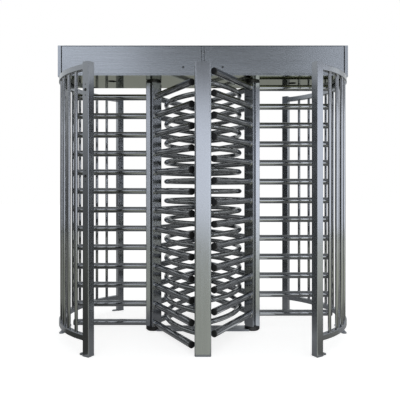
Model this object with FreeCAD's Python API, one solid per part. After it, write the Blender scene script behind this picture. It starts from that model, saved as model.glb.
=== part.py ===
import math
import os

import FreeCAD
import Part

V = FreeCAD.Vector

# Driving dimensions in millimetres, origin on the floor under the middle, front is -Y.
FRAME_TOP = 2065.0
HEADER_H = 235.0
TOTAL_H = FRAME_TOP + HEADER_H
ARM_REACH = 667.0

# Side posts
POST_SIDE = 57.2
POST_WALL = 3.0
POST_CORNER_R = 3.5
POST_ANGLE = 57.86
POST_OFFSET = 3.0
FOOT_T = 8.0
FOOT_TAB_W = 38.0
FOOT_TAB_REACH = 78.0
FOOT_HOLE_R = 6.5
OUTLET_R = 10.0
OUTLET_SCREW_R = 3.5
OUTLET_SCREW_OFFSET = 38.0
OUTLET_LEVELS = (1867.0, 1263.0)

# Centre posts
CENTRE_W = 118.0
CENTRE_D = 80.0
SWEEP_GAP = 1.541
CENTRE_WALL = 4.0
CENTRE_CORNER_R = 12.0
CENTRE_FOOT_T = 10.0
CENTRE_FOOT_REACH = 60.0
CENTRE_FOOT_HOLE_R = 7.0
CENTRE_FOOT_HOLE_SPACING = 70.0
TIE_W = 88.0
TIE_T = 15.0

# Cages
RING_W = 40.0
RING_H = 40.0
RING_WALL = 2.0
RING_CORNER_R = 3.0
RING_GAP = 51.0
RING_R = ARM_REACH + RING_GAP + RING_W / 2
POST_R = RING_R + POST_OFFSET
BOTTOM_RING_Z = 105.0
RING_DROP = 10.0
TOP_RING_Z = FRAME_TOP - RING_DROP - RING_H
BAR_COUNT = 12
BAR_STEP = 8.547
BAR_OD = 25.4
BAR_WALL = 2.0
LEG_SIDE = 50.0
LEG_WALL = 3.0
LEG_CORNER_R = 3.5
LEG_FOOT_L = 250.0
LEG_FOOT_W = 40.0
LEG_FOOT_HOLE_SPACING = 200.0

# Comb
COMB_OD = 38.0
COMB_GAP = 28.0
COMB_R = ARM_REACH + COMB_GAP + COMB_OD / 2
COMB_WALL = 1.5
COMB_COUNT = 12

# Rotors
LEVEL_COUNT = 13
LEFT_FIRST_LEVEL = 60.0
LEVEL_TOP_MARGIN = 33.75
ARM_OD = 50.8
ARM_WALL = 1.5
CAP_T = 10.0
CAP_EDGE = 3.0
CAP_SPIGOT_L = 15.0
COLUMN_FACE_R = 60.0
COLUMN_TUBE_W = 77.0
COLUMN_TUBE_T = 36.5
COLUMN_WALL = 2.5
COLUMN_CORNER_R = 4.0
COLUMN_CLEARANCE = 29.0
ROTOR_X = (COMB_R + COMB_OD / 2 + COLUMN_CLEARANCE + COLUMN_FACE_R) / 2
CORE_WALL = 2.5
CORE_GAP = 0.3
FACE_SCREW_LEVELS = (
    (1.5, (-15.0,)), (4.5, (-15.0, 15.0)), (6.5, (-15.0, 15.0)), (8.5, (-15.0, 15.0)), (11.5, (-15.0,)))
FACE_SCREW_R = 3.0
FACE_SCREW_HEAD_R = 5.0
FACE_SCREW_HEAD_T = 2.0
FACE_SCREW_L = 10.0
HUB_R = COLUMN_FACE_R - 0.3
HUB_BOTTOM_T = 8.5
HUB_TOP_T = 10.7
HUB_GAP = 0.3
SHAFT_R = 20.0
FIT = 0.05
STUB_IN_CORE = 40.0
BASE_R = 63.0
BASE_H = 30.0
BASE_CHAMFER = 9.0
SOCKET_FLOOR = 8.0
COLLAR_R = 64.0
COLLAR_T = 4.0
COLLAR_HOLE_R = 21.0
COLUMN_Z0 = BASE_H + HUB_GAP + HUB_BOTTOM_T
COLUMN_Z1 = FRAME_TOP - COLLAR_T - HUB_GAP - HUB_TOP_T
LEVEL_PITCH = (COLUMN_Z1 - LEVEL_TOP_MARGIN - LEFT_FIRST_LEVEL) / (LEVEL_COUNT - 0.5)
RIGHT_FIRST_LEVEL = LEFT_FIRST_LEVEL + LEVEL_PITCH / 2

# Floor sill
SILL_D = 120.0
SILL_H = 15.0
SILL_WALL = 4.0
SILL_END_X = 30.0
SILL_GAP = 0.3

# Header
HEADER_INSET = 9.0
HEADER_HALF_X = ROTOR_X + RING_R - HEADER_INSET
HEADER_HALF_Y = 239.0
SHEET = 3.0
LIP_H = 10.0
SEAM = 0.5
SEAM_OUT = 139.0
SOFFIT_SEAM_X = ROTOR_X + SEAM_OUT
END_STRIP = 25.0
DOOR_GAP_SIDE = 8.0
DOOR_GAP_MID = 5.0
STRIP_W = 16.0
STRIP_WALL = 2.0
STRIP_SCREW_DROP = 55.0
STRIP_HEAD_R = 4.5
PANEL_SCREW_R = 2.5
PANEL_HEAD_R = 5.0
PANEL_HEAD_T = 1.0
PANEL_SCREW_RISE = 60.0
PANEL_SCREW_DROP = 40.0
BLOCK_HALF = 12.0
DOOR_GAP_LOW = 2.0
DOOR_GAP_TOP = 4.0
DOOR_Z0 = FRAME_TOP + LIP_H + DOOR_GAP_LOW
DOOR_Z1 = TOTAL_H - SHEET - DOOR_GAP_TOP
DOOR_SHEET = 2.5
DOOR_RETURN = 12.0
DOOR_BOTTOM_RETURN = 8.0
RAIL_INSET = 49.0
RAIL_Y = HEADER_HALF_Y - RAIL_INSET
LOW_RAIL_W = 40.0
LOW_RAIL_H = 50.0
HIGH_RAIL = 30.0
RAIL_WALL = 3.0
UPRIGHT_INSET = 55.0
UPRIGHT_X = HEADER_HALF_X - UPRIGHT_INSET
LAMP_OUT = 341.0
LAMP_X = ROTOR_X + LAMP_OUT
LAMP_Y = 35.0
LAMP_R = 36.0
LAMP_DEPTH = 34.0
LAMP_WALL = 3.0
LAMP_RECESS = 12.0
LAMP_RIM = 6.0
LAMP_RIM_T = 2.0
LAMP_PLAY = 0.5
CABLE_BORE_R = 25.0
CABLE_BORE_X = 300.0

# Door hinges and locks
PIVOT_DEPTH = 9.0
PIVOT_DROP = 14.0
PIVOT_Y = -HEADER_HALF_Y + PIVOT_DEPTH
PIVOT_Z = DOOR_Z1 - PIVOT_DROP
PIN_R = 3.0
KNUCKLE_R = 5.0
KNUCKLE_L = 30.0
KNUCKLE_PLAY = 0.3
LINK_HALF_H = 4.0
NOTCH_SIDE = 12.0
NOTCH_DROP = 20.0
BRACKET_T = 4.0
BRACKET_WEB_T = 3.0
BRACKET_HALF_H = 12.0
HINGE_INSET = 160.0
LOCK_X = 155.0
LOCK_RISE = 53.0
LOCK_Z = DOOR_Z0 + LOCK_RISE
LOCK_HOUSING_R = 8.0
LOCK_BEZEL_R = 9.5
LOCK_BEZEL_T = 1.5
LOCK_PLUG_R = 6.0
KEY_SLOT_HALF_W = 0.8
KEY_SLOT_HALF_H = 3.5
KEY_SLOT_DEPTH = 4.0
TONGUE_L = 60.0
TONGUE_W = 16.0
TONGUE_T = 3.0
TONGUE_SETBACK = 9.0

# Head machinery
PLATE_HALF_X = 90.0
PLATE_T = 8.0
BRAKE_R = 60.0
BRAKE_H = 30.0
ARMATURE_R = 58.0
ARMATURE_T = 8.5
ARMATURE_GAP = 0.5
BEARING_HALF = 50.0
BEARING_H = 30.0
ENCODER_R = 29.0
ENCODER_H = 28.0
JOURNAL_R = 5.0
SHAFT_RISE = 9.0
BRIDGE_RISE = 12.0
BRIDGE_HALF_X = 60.0
BRIDGE_HALF_Y = 25.0
BRIDGE_TAB = 20.0
BRIDGE_T = 4.0
CONTROL_HALF_X = 170.0
CONTROL_GAP = 16.0
CONTROL_H = 120.0
SUPPLY_L = 180.0
SUPPLY_HALF_Y = 60.0
SUPPLY_H = 70.0
SUPPLY_END = 110.0
DUCT_W = 40.0
DUCT_H = 40.0
DUCT_WALL = 3.0
DUCT_GAP = 4.0
DUCT_END = 140.0

WINGS = (180.0, 300.0, 60.0)
Z_AXIS = V(0, 0, 1)
ORIGIN = V(0, 0, 0)


def box(x0, x1, y0, y1, z0, z1):
    return Part.makeBox(x1 - x0, y1 - y0, z1 - z0, V(x0, y0, z0))


def cyl(r, x, y, z0, z1):
    return Part.makeCylinder(r, z1 - z0, V(x, y, z0), Z_AXIS)


def cyl_x(r, y, z, x0, x1):
    return Part.makeCylinder(r, x1 - x0, V(x0, y, z), V(1, 0, 0))


def cyl_y(r, x, z, y0, y1):
    return Part.makeCylinder(r, y1 - y0, V(x, y0, z), V(0, 1, 0))


def rounded(blank, radius):
    edges = [e for e in blank.Edges if abs(e.tangentAt(e.FirstParameter).z) > 0.99]
    return blank.makeFillet(radius, edges)


def tube_box(x0, x1, y0, y1, z0, z1, wall, along):
    inner = [x0 + wall, x1 - wall, y0 + wall, y1 - wall, z0 + wall, z1 - wall]
    first = 2 * "xyz".index(along)
    ends = (x0, x1, y0, y1, z0, z1)
    inner[first] = ends[first] - 1.0
    inner[first + 1] = ends[first + 1] + 1.0
    return box(x0, x1, y0, y1, z0, z1).cut(box(*inner))


def upright_tube(x0, x1, y0, y1, z0, z1, wall, corner_r, closed=0.0):
    outer = rounded(box(x0, x1, y0, y1, z0, z1), corner_r)
    hollow_top = z1 - closed if closed else z1 + 1
    hollow_r = max(corner_r - wall, 0.5)
    hollow = rounded(box(x0 + wall, x1 - wall, y0 + wall, y1 - wall, z0 - 1, hollow_top), hollow_r)
    return outer.cut(hollow)


def turned(shape, degrees):
    out = shape.copy()
    out.rotate(ORIGIN, Z_AXIS, degrees)
    return out


def moved(shape, x=0.0, y=0.0, z=0.0):
    out = shape.copy()
    out.translate(V(x, y, z))
    return out


def fused(*shapes):
    out = shapes[0]
    for other in shapes[1:]:
        out = out.fuse(other)
    return out.removeSplitter()


def cut_all(shape, tools):
    for tool in tools:
        shape = shape.cut(tool)
    return shape


def solids_of(item):
    if isinstance(item, (list, tuple)):
        found = []
        for one in item:
            found.extend(solids_of(one))
        return found
    return list(item.Solids)


def swept_tube(radius, profile_outer, profile_inner, half_angle):
    start = V(-radius * math.cos(math.radians(half_angle)), -radius * math.sin(math.radians(half_angle)), 0)
    outer = profile_outer(start, -half_angle)
    inner = profile_inner(start, -half_angle)
    solid = outer.revolve(ORIGIN, Z_AXIS, -2 * half_angle)
    hollow = inner.revolve(ORIGIN, Z_AXIS, -2 * half_angle)
    return solid.cut(hollow)


def circle_face(radius):
    def make(centre, bearing):
        normal = V(math.sin(math.radians(-bearing)), -math.cos(math.radians(bearing)), 0)
        edge = Part.Edge(Part.Circle(centre, normal, radius))
        return Part.Face(Part.Wire(edge))
    return make


def square_face(width, height, radius):
    def make(centre, bearing):
        out = V(centre.x, centre.y, 0)
        out.normalize()
        up = V(0, 0, 1)
        edges = []
        ends = []
        for a, b in ((1, -1), (1, 1), (-1, 1), (-1, -1)):
            corner = centre + out * (a * (width / 2 - radius)) + up * (b * (height / 2 - radius))
            first, last = (out * a, up * b) if a * b > 0 else (up * b, out * a)
            middle = (first + last).normalize()
            arc = [corner + first * radius, corner + middle * radius, corner + last * radius]
            edges.append(Part.Arc(*arc).toShape())
            ends.append((arc[0], arc[2]))
        for number in range(4):
            edges.append(Part.makeLine(ends[number][1], ends[(number + 1) % 4][0]))
        return Part.Face(Part.Wire(Part.__sortEdges__(edges)))
    return make


# Posts stand square to their rotor axis: built on the outward -X side and turned into place.
def post_blank():
    half = POST_SIDE / 2
    return rounded(box(-POST_R - half, -POST_R + half, -half, half, FOOT_T, FRAME_TOP), POST_CORNER_R)


def post_tube():
    half = POST_SIDE / 2
    return upright_tube(
        -POST_R - half, -POST_R + half, -half, half, FOOT_T, FRAME_TOP, POST_WALL, POST_CORNER_R, POST_WALL)


def foot_plate(tab_side):
    half = POST_SIDE / 2
    plate = box(-POST_R - half, -POST_R + half, -half, half, 0, FOOT_T)
    end_y = FOOT_TAB_REACH - FOOT_TAB_W / 2
    tab = box(-POST_R - FOOT_TAB_W / 2, -POST_R + FOOT_TAB_W / 2, 0, end_y, 0, FOOT_T)
    round_end = cyl(FOOT_TAB_W / 2, -POST_R, end_y, 0, FOOT_T)
    plate = fused(plate, tab, round_end).cut(cyl(FOOT_HOLE_R, -POST_R, end_y, -1, FOOT_T + 1))
    if tab_side < 0:
        plate.rotate(V(-POST_R, 0, 0), V(1, 0, 0), 180)
        plate.translate(V(0, 0, FOOT_T))
    return plate


def left_side(shape):
    return moved(shape, x=-ROTOR_X)


def both_sides(shape):
    left = left_side(shape)
    return [left, turned(left, 180)]


front_left = left_side(turned(post_tube(), POST_ANGLE))
rear_left = left_side(turned(post_tube(), -POST_ANGLE))
outlets = []
for level in OUTLET_LEVELS:
    for offset, radius in ((0.0, OUTLET_R), (OUTLET_SCREW_OFFSET, OUTLET_SCREW_R),
                           (-OUTLET_SCREW_OFFSET, OUTLET_SCREW_R)):
        face_x = -POST_R - POST_SIDE / 2
        drill = cyl_x(radius, 0, level + offset, face_x - 2, face_x + POST_WALL + 2)
        outlets.append(left_side(turned(drill, POST_ANGLE)))
outlet_post = cut_all(front_left, outlets)
side_posts = [rear_left, turned(front_left, 180), turned(rear_left, 180)]

post_feet = []
for bearing, tab_side in ((POST_ANGLE, 1), (-POST_ANGLE, -1)):
    post_feet.extend(both_sides(turned(foot_plate(tab_side), bearing)))


def centre_outline(x_half, y0, y1, z0, z1, radius):
    return rounded(box(-x_half, x_half, y0, y1, z0, z1), radius)


# The post's inner corner stays clear of the circle that the arm ends sweep.
CENTRE_REAR = math.sqrt((ARM_REACH + SWEEP_GAP) ** 2 - (ROTOR_X - CENTRE_W / 2) ** 2)
CENTRE_FRONT = CENTRE_REAR + CENTRE_D
centre_solid = centre_outline(
    CENTRE_W / 2, -CENTRE_FRONT, -CENTRE_REAR, CENTRE_FOOT_T, FRAME_TOP, CENTRE_CORNER_R)
centre_hollow = centre_outline(
    CENTRE_W / 2 - CENTRE_WALL, -CENTRE_FRONT + CENTRE_WALL, -CENTRE_REAR - CENTRE_WALL,
    CENTRE_FOOT_T - 1, FRAME_TOP - CENTRE_WALL, CENTRE_CORNER_R - CENTRE_WALL)
centre_post = centre_solid.cut(centre_hollow)
centre_posts = [centre_post, turned(centre_post, 180)]

foot_outline = centre_outline(
    CENTRE_W / 2, -CENTRE_FRONT, -CENTRE_REAR + CENTRE_FOOT_REACH, 0, CENTRE_FOOT_T, CENTRE_CORNER_R)
foot_hole_y = -CENTRE_REAR + CENTRE_FOOT_REACH / 2
for side in (-1, 1):
    hole_x = side * CENTRE_FOOT_HOLE_SPACING / 2
    foot_outline = foot_outline.cut(cyl(CENTRE_FOOT_HOLE_R, hole_x, foot_hole_y, -1, CENTRE_FOOT_T + 1))
centre_feet = [foot_outline, turned(foot_outline, 180)]

centre_tie = box(-TIE_W / 2, TIE_W / 2, -CENTRE_REAR, CENTRE_REAR, FRAME_TOP - TIE_T, FRAME_TOP)

# Rings run from post to post, cut flush on the posts' sides.
ring_inner = square_face(RING_W - 2 * RING_WALL, RING_H - 2 * RING_WALL, RING_CORNER_R - RING_WALL)
ring_section = swept_tube(RING_R, square_face(RING_W, RING_H, RING_CORNER_R), ring_inner, POST_ANGLE)
post_zone = fused(turned(post_blank(), POST_ANGLE), turned(post_blank(), -POST_ANGLE))
post_zone = moved(post_zone, z=-FOOT_T)
ring_at_top = moved(ring_section, z=TOP_RING_Z + RING_H / 2).cut(post_zone)
ring_at_bottom = moved(ring_section, z=BOTTOM_RING_Z + RING_H / 2).cut(post_zone)


def main_solid(shape):
    return max(shape.Solids, key=lambda s: s.Volume)


top_rings = both_sides(main_solid(ring_at_top))
bottom_rings = both_sides(main_solid(ring_at_bottom))

bar_z0 = BOTTOM_RING_Z + RING_H
bar_bore = cyl(BAR_OD / 2 - BAR_WALL, -RING_R, 0, bar_z0 - 1, TOP_RING_Z + 1)
bar = cyl(BAR_OD / 2, -RING_R, 0, bar_z0, TOP_RING_Z).cut(bar_bore)
cage_bars_left = []
for number in range(BAR_COUNT):
    cage_bars_left.append(left_side(turned(bar, (number - (BAR_COUNT - 1) / 2) * BAR_STEP)))
cage_bars_right = [turned(one, 180) for one in cage_bars_left]

leg_half = LEG_SIDE / 2
leg_x0 = -RING_R - leg_half
leg_x1 = -RING_R + leg_half
leg = upright_tube(leg_x0, leg_x1, -leg_half, leg_half, FOOT_T, BOTTOM_RING_Z, LEG_WALL, LEG_CORNER_R)
mid_legs = both_sides(leg)
leg_end = LEG_FOOT_L / 2 - LEG_FOOT_W / 2
leg_foot = fused(
    box(-RING_R - LEG_FOOT_W / 2, -RING_R + LEG_FOOT_W / 2, -leg_end, leg_end, 0, FOOT_T),
    box(leg_x0, leg_x1, -leg_half, leg_half, 0, FOOT_T),
    cyl(LEG_FOOT_W / 2, -RING_R, -leg_end, 0, FOOT_T),
    cyl(LEG_FOOT_W / 2, -RING_R, leg_end, 0, FOOT_T))
for side in (-1, 1):
    leg_foot = leg_foot.cut(cyl(FOOT_HOLE_R, -RING_R, side * LEG_FOOT_HOLE_SPACING / 2, -1, FOOT_T + 1))
leg_feet = both_sides(leg_foot)

# Comb tubes bulge to the left round the right rotor's axis, and the other set is the same turned round.
comb_half_angle = math.degrees(math.acos(ROTOR_X / COMB_R)) + 1.0
comb_arc = swept_tube(COMB_R, circle_face(COMB_OD / 2), circle_face(COMB_OD / 2 - COMB_WALL), comb_half_angle)
comb_arc = moved(comb_arc, x=ROTOR_X)
post_pair = [centre_solid, turned(centre_solid, 180)]


def comb_tube(level):
    piece = cut_all(moved(comb_arc, z=level), post_pair)
    return max(piece.Solids, key=lambda s: s.Volume)


first_comb = comb_tube(RIGHT_FIRST_LEVEL)
comb_left = [moved(first_comb, z=number * LEVEL_PITCH) for number in range(COMB_COUNT)]
turned_comb = moved(turned(first_comb, 180), z=LEFT_FIRST_LEVEL + LEVEL_PITCH - RIGHT_FIRST_LEVEL)
comb_right = [moved(turned_comb, z=number * LEVEL_PITCH) for number in range(COMB_COUNT)]


# Rotors, built about the origin and then placed.
def column_tubes(first_level):
    inner_r = COLUMN_FACE_R - COLUMN_TUBE_T
    half = COLUMN_TUBE_W / 2
    tube = upright_tube(
        inner_r, COLUMN_FACE_R, -half, half, COLUMN_Z0, COLUMN_Z1, COLUMN_WALL, COLUMN_CORNER_R)
    drill_x = COLUMN_FACE_R - COLUMN_WALL - 1
    holes = []
    for step, offsets in FACE_SCREW_LEVELS:
        for offset in offsets:
            z = first_level + step * LEVEL_PITCH
            holes.append(cyl_x(FACE_SCREW_R + FIT, offset, z, drill_x, COLUMN_FACE_R + 1))
    tube = cut_all(tube, holes)
    return [turned(tube, wing) for wing in WINGS]


def face_screws(first_level):
    screws = []
    for step, offsets in FACE_SCREW_LEVELS:
        for offset in offsets:
            z = first_level + step * LEVEL_PITCH
            shank = cyl_x(FACE_SCREW_R, offset, z, COLUMN_FACE_R - FACE_SCREW_L, COLUMN_FACE_R)
            head = cyl_x(FACE_SCREW_HEAD_R, offset, z, COLUMN_FACE_R, COLUMN_FACE_R + FACE_SCREW_HEAD_T)
            screws.append(shank.fuse(head).removeSplitter())
    return [turned(one, wing) for wing in WINGS for one in screws]


def core_tube():
    r = COLUMN_FACE_R - COLUMN_TUBE_T - CORE_GAP
    return cyl(r, 0, 0, COLUMN_Z0, COLUMN_Z1).cut(cyl(r - CORE_WALL, 0, 0, COLUMN_Z0 - 1, COLUMN_Z1 + 1))


def at_levels(shape, first_level):
    wings = [turned(shape, wing) for wing in WINGS]
    return [moved(one, z=first_level + n * LEVEL_PITCH) for one in wings for n in range(LEVEL_COUNT)]


def arms(first_level):
    end_x = ARM_REACH - CAP_T
    tube = cyl_x(ARM_OD / 2, 0, 0, COLUMN_FACE_R, end_x)
    tube = tube.cut(cyl_x(ARM_OD / 2 - ARM_WALL, 0, 0, COLUMN_FACE_R - 1, end_x + 1))
    return at_levels(tube, first_level)


def caps(first_level):
    face_x = ARM_REACH - CAP_T
    head = cyl_x(ARM_OD / 2, 0, 0, face_x, ARM_REACH)
    rim = [e for e in head.Edges if e.Closed and e.CenterOfMass.x > ARM_REACH - 0.1]
    head = head.makeFillet(CAP_EDGE, rim)
    spigot = cyl_x(ARM_OD / 2 - ARM_WALL - FIT, 0, 0, face_x - CAP_SPIGOT_L, face_x + 1)
    return at_levels(head.fuse(spigot).removeSplitter(), first_level)


def hubs():
    bore = cyl(SHAFT_R + FIT, 0, 0, 0, COLUMN_Z1 + HUB_TOP_T + 1)
    bottom = cyl(HUB_R, 0, 0, COLUMN_Z0 - HUB_BOTTOM_T, COLUMN_Z0).cut(bore)
    top = cyl(HUB_R, 0, 0, COLUMN_Z1, COLUMN_Z1 + HUB_TOP_T).cut(bore)
    return [bottom, top]


LOW_RAIL_TOP = FRAME_TOP + SHEET + LOW_RAIL_H
PLATE_TOP = LOW_RAIL_TOP + PLATE_T
BEARING_TOP = PLATE_TOP + BEARING_H
SHAFT_TOP = BEARING_TOP + SHAFT_RISE
BRIDGE_Z = BEARING_TOP + BRIDGE_RISE
ENCODER_Z = BRIDGE_Z + BRIDGE_T
BRAKE_Z = LOW_RAIL_TOP - BRAKE_H
ARMATURE_Z1 = BRAKE_Z - ARMATURE_GAP


def shafts():
    low = cyl(SHAFT_R, 0, 0, SOCKET_FLOOR, COLUMN_Z0 + STUB_IN_CORE)
    high = cyl(SHAFT_R, 0, 0, COLUMN_Z1 - STUB_IN_CORE, SHAFT_TOP)
    high = high.fuse(cyl(JOURNAL_R, 0, 0, SHAFT_TOP - 1, ENCODER_Z + ENCODER_H)).removeSplitter()
    return [low, high]


def armature():
    return cyl(ARMATURE_R, 0, 0, ARMATURE_Z1 - ARMATURE_T, ARMATURE_Z1).cut(
        cyl(SHAFT_R + FIT, 0, 0, ARMATURE_Z1 - 20, ARMATURE_Z1 + 1))


def rotor(first_level, angle):
    pieces = {
        "column": column_tubes(first_level), "core": core_tube(), "arms": arms(first_level),
        "arm_caps": caps(first_level), "hubs": hubs(), "shaft": shafts(),
        "column_screws": face_screws(first_level), "armature": armature()}
    placed = {}
    for name, item in pieces.items():
        placed[name] = [turned(left_side(one), angle) for one in solids_of(item)]
    return placed


left_rotor = rotor(LEFT_FIRST_LEVEL, 0)
right_rotor = rotor(RIGHT_FIRST_LEVEL, 180)

# Floor bearings and the sill between them
base = cyl(BASE_R, 0, 0, 0, BASE_H)
base_rim = [e for e in base.Edges if e.Closed and e.CenterOfMass.z < 0.1]
base = base.makeChamfer(BASE_CHAMFER, base_rim).cut(cyl(SHAFT_R + FIT, 0, 0, SOCKET_FLOOR, BASE_H + 1))
floor_bearings = both_sides(base)

sill_half_x = ROTOR_X - SILL_END_X
sill = box(-sill_half_x, sill_half_x, -SILL_D / 2, SILL_D / 2, 0, SILL_H)
sill_in_x = sill_half_x - SILL_WALL
sill_in_y = SILL_D / 2 - SILL_WALL
sill = sill.cut(box(-sill_in_x, sill_in_x, -sill_in_y, sill_in_y, -1, SILL_H - SILL_WALL))
sill = cut_all(sill, [cyl(BASE_R + SILL_GAP, side * ROTOR_X, 0, -1, SILL_H + 1) for side in (-1, 1)])

# Header underside in three flat panels, each with a lip strip along its front and its rear edge
SOFFIT_TOP = FRAME_TOP + SHEET
SOFFIT_END = HEADER_HALF_X - END_STRIP - SEAM / 2


def soffit(x0, x1, holes):
    half = HEADER_HALF_Y
    panel = box(x0, x1, -half + SHEET, half - SHEET, FRAME_TOP, SOFFIT_TOP)
    panel = cut_all(panel, [cyl(r, x, y, FRAME_TOP - 1, SOFFIT_TOP + 1) for x, y, r in holes])
    lips = [box(x0, x1, y, y + SHEET, FRAME_TOP, FRAME_TOP + LIP_H) for y in (-half, half - SHEET)]
    return [panel] + lips


lamp_hole_r = LAMP_R + LAMP_PLAY
soffit_centre = soffit(-SOFFIT_SEAM_X + SEAM / 2, SOFFIT_SEAM_X - SEAM / 2,
                       ((-ROTOR_X, 0, COLLAR_HOLE_R), (ROTOR_X, 0, COLLAR_HOLE_R)))
soffit_end = soffit(-SOFFIT_END, -SOFFIT_SEAM_X - SEAM / 2, ((-LAMP_X, -LAMP_Y, lamp_hole_r),))
soffit_ends = soffit_end + [turned(one, 180) for one in soffit_end]

lamp = cyl(LAMP_R, -LAMP_X, -LAMP_Y, FRAME_TOP + 1, FRAME_TOP + LAMP_DEPTH).cut(
    cyl(LAMP_R - LAMP_WALL, -LAMP_X, -LAMP_Y, FRAME_TOP - 1, FRAME_TOP + LAMP_RECESS))
lamp_rim = cyl(LAMP_R + LAMP_RIM, -LAMP_X, -LAMP_Y, SOFFIT_TOP, SOFFIT_TOP + LAMP_RIM_T)
lamp_rim = lamp_rim.cut(cyl(LAMP_R - 1, -LAMP_X, -LAMP_Y, SOFFIT_TOP - 1, SOFFIT_TOP + LAMP_RIM_T + 1))
lamp = lamp.fuse(lamp_rim).removeSplitter()
lamps = [lamp, turned(lamp, 180)]

collar = cyl(COLLAR_R, -ROTOR_X, 0, FRAME_TOP - COLLAR_T, FRAME_TOP).cut(
    cyl(COLLAR_HOLE_R, -ROTOR_X, 0, FRAME_TOP - 10, FRAME_TOP + 1))
collars = [collar, turned(collar, 180)]

# Header frame
inner_x = HEADER_HALF_X - SHEET
cover_z = TOTAL_H - SHEET
half_low = LOW_RAIL_W / 2
half_high = HIGH_RAIL / 2
low_rail_front = -RAIL_Y - half_low
high_rail_front = -RAIL_Y - half_high
low_rail = tube_box(
    -inner_x, inner_x, low_rail_front, -RAIL_Y + half_low, SOFFIT_TOP, LOW_RAIL_TOP, RAIL_WALL, "x")
high_rail = tube_box(
    -inner_x, inner_x, high_rail_front, -RAIL_Y + half_high, cover_z - HIGH_RAIL, cover_z, RAIL_WALL, "x")
low_rails = [low_rail, turned(low_rail, 180)]
high_rails = [high_rail, turned(high_rail, 180)]
uprights = []
for x in (-UPRIGHT_X, 0.0, UPRIGHT_X):
    for y in (-RAIL_Y, RAIL_Y):
        uprights.append(tube_box(x - half_high, x + half_high, y - half_high, y + half_high, LOW_RAIL_TOP,
                                 cover_z - HIGH_RAIL, RAIL_WALL, "z"))

end_foot_z = TOP_RING_Z + RING_H
strip_in = HEADER_HALF_X - END_STRIP
end_cap = fused(
    box(inner_x, HEADER_HALF_X, -HEADER_HALF_Y, HEADER_HALF_Y, end_foot_z, cover_z),
    box(strip_in, HEADER_HALF_X, -HEADER_HALF_Y, -HEADER_HALF_Y + SHEET, end_foot_z, cover_z),
    box(strip_in, HEADER_HALF_X, HEADER_HALF_Y - SHEET, HEADER_HALF_Y, end_foot_z, cover_z),
    box(strip_in, HEADER_HALF_X, -HEADER_HALF_Y, HEADER_HALF_Y, end_foot_z, end_foot_z + SHEET))
header_ends = [end_cap, turned(end_cap, 180)]

top_cover = box(-HEADER_HALF_X, HEADER_HALF_X, -HEADER_HALF_Y, HEADER_HALF_Y, cover_z, TOTAL_H)
top_cover = top_cover.cut(cyl(CABLE_BORE_R, CABLE_BORE_X, 0, cover_z - 1, TOTAL_H + 1))

# Rear panel, a tray like the doors but fixed, with its screws
door_end = strip_in - DOOR_GAP_SIDE


def tray(x0, x1, bottom_return):
    y0 = -HEADER_HALF_Y
    y1 = y0 + DOOR_SHEET
    deep = y0 + DOOR_RETURN
    return fused(box(x0, x1, y0, y1, DOOR_Z0, DOOR_Z1),
                 box(x0, x0 + DOOR_SHEET, y0, deep, DOOR_Z0, DOOR_Z1),
                 box(x1 - DOOR_SHEET, x1, y0, deep, DOOR_Z0, DOOR_Z1),
                 box(x0, x1, y0, deep, DOOR_Z1 - DOOR_SHEET, DOOR_Z1),
                 box(x0, x1, y0, y0 + bottom_return, DOOR_Z0, DOOR_Z0 + DOOR_SHEET))


rear_tray = tray(-door_end, door_end, DOOR_RETURN)
rear_web_y0 = -HEADER_HALF_Y + DOOR_SHEET
rear_web_y1 = high_rail_front
rear_blocks = []
rear_screws = []
for x in (-UPRIGHT_X, 0.0, UPRIGHT_X):
    for z in (DOOR_Z0 + PANEL_SCREW_RISE, DOOR_Z1 - PANEL_SCREW_DROP):
        block = box(x - BLOCK_HALF, x + BLOCK_HALF, rear_web_y0, rear_web_y1, z - BLOCK_HALF, z + BLOCK_HALF)
        hole = cyl_y(PANEL_SCREW_R + FIT, x, z, -HEADER_HALF_Y - 1, rear_web_y1 + 1)
        rear_blocks.append(block.cut(hole))
        rear_tray = rear_tray.cut(hole)
        shank = cyl_y(PANEL_SCREW_R, x, z, -HEADER_HALF_Y, rear_web_y1)
        head = cyl_y(PANEL_HEAD_R, x, z, -HEADER_HALF_Y - PANEL_HEAD_T, -HEADER_HALF_Y)
        rear_screws.append(shank.fuse(head).removeSplitter())
rear_panel = turned(rear_tray, 180)
panel_blocks = [turned(one, 180) for one in rear_blocks]
panel_screws = [turned(one, 180) for one in rear_screws]

# Narrow strip between the doors, a channel that fits over the low rail and stands on the middle upright
strip_half = STRIP_W / 2
strip_z = DOOR_Z1 - STRIP_SCREW_DROP
strip = tube_box(-strip_half, strip_half, -HEADER_HALF_Y, high_rail_front, DOOR_Z0, DOOR_Z1, STRIP_WALL, "z")
strip = strip.cut(box(-strip_half - 1, strip_half + 1, low_rail_front, 0, DOOR_Z0 - 1, LOW_RAIL_TOP))
strip = strip.cut(cyl_y(PANEL_SCREW_R + FIT, 0, strip_z, -HEADER_HALF_Y - 1, -RAIL_Y))
strip_shank = cyl_y(PANEL_SCREW_R, 0, strip_z, -HEADER_HALF_Y, high_rail_front)
strip_head = cyl_y(STRIP_HEAD_R, 0, strip_z, -HEADER_HALF_Y - PANEL_HEAD_T, -HEADER_HALF_Y)
panel_screws.append(strip_shank.fuse(strip_head).removeSplitter())

# Doors hang from knuckles on fixed pins, and each carries one lock.
door_in = strip_half + DOOR_GAP_MID
hinge_half = KNUCKLE_L / 2


def hinge_places(side):
    return [side * (door_in + HINGE_INSET), side * (door_end - HINGE_INSET)]


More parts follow.
